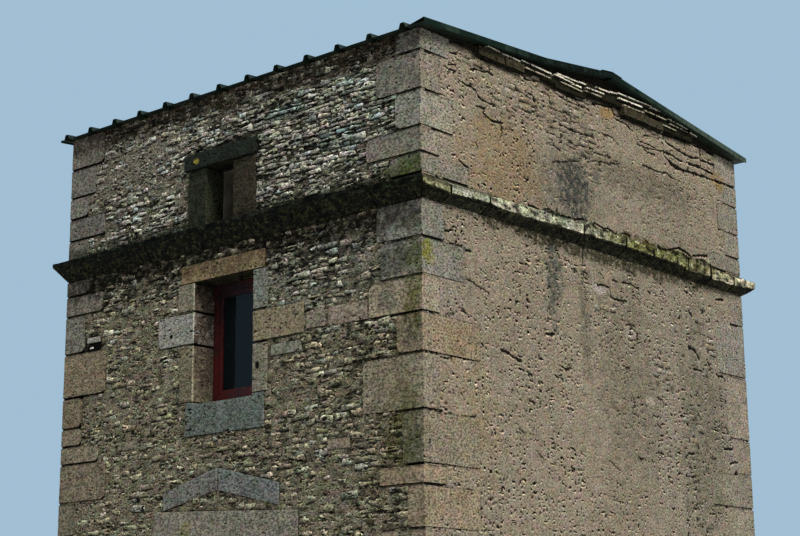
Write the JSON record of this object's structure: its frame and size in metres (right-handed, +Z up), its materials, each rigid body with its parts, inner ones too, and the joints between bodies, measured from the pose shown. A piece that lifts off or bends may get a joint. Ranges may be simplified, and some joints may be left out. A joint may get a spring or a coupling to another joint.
{
  "type": "dovecote",
  "caption": "Square stone dovecote in two stages with a string course, a flight hole over a red window and a door, and a low gable roof of green ribbed sheets.",
  "frame": {"origin": "on the ground at the centre of the plan", "axes": "+X to the right along the front wall, +Y from the front wall to the back, +Z up"},
  "size_m": [4.3, 4.8, 6.4576],
  "materials": {
    "rubble_masonry": "thin flat rubble in rough courses, weathered and lichened",
    "dressed_stone": "squared pale limestone, weathered",
    "string_stone": "weathered stone with moss on the ledge",
    "sill_stone": "blue-grey squared stone, weathered",
    "floor_stone": "worn stone flags",
    "roof_sheet": "dark green coated ribbed steel sheet",
    "window_paint": "oxblood red gloss paint on softwood",
    "window_pane": "old clear glass",
    "door_wood": "oxblood red paint on boards, worn at the foot",
    "black_iron": "blackened forged iron",
    "old_timber": "sawn timber, darkened with age"
  },
  "bodies": {
    "root": {"front_wall_lower": "rubble_masonry", "back_wall_lower": "rubble_masonry", "left_wall_lower": "rubble_masonry", "right_wall_lower": "rubble_masonry", "front_wall_upper": "rubble_masonry", "back_wall_upper": "rubble_masonry", "left_gable_wall": "rubble_masonry", "right_gable_wall": "rubble_masonry", "left_gable_ledge": "rubble_masonry", "right_gable_ledge": "rubble_masonry", "string_course_front": "string_stone", "string_course_back": "string_stone", "string_course_left": "string_stone", "string_course_right": "string_stone", "window_lintel": "dressed_stone", "window_sill": "sill_stone", "window_jamb_left": "dressed_stone", "window_jamb_right": "dressed_stone", "window_frame": "window_paint", "window_casement": "window_paint", "window_glass": "window_pane", "flight_hole_jamb_left": "dressed_stone", "flight_hole_jamb_right": "dressed_stone", "flight_hole_lintel": "dressed_stone", "door_lintel": "dressed_stone", "door_relieving_stone_left": "dressed_stone", "door_relieving_stone_right": "dressed_stone", "door_jamb_left": "dressed_stone", "door_jamb_right": "dressed_stone", "door_threshold": "floor_stone", "door_frame": "door_wood", "door_leaf": "door_wood", "door_ironwork": "black_iron", "ground_floor": "floor_stone", "first_floor_joists": "old_timber", "first_floor_boards": "old_timber", "loft_floor_joists": "old_timber", "loft_floor_boards": "old_timber", "roof_purlins": "old_timber", "wall_plates": "old_timber", "front_lower_roof_sheets": "roof_sheet", "front_upper_roof_sheets": "roof_sheet", "back_roof_sheets": "roof_sheet", "ridge_cap": "roof_sheet", "verge_flashings": "roof_sheet"}
  },
  "joints": []
}
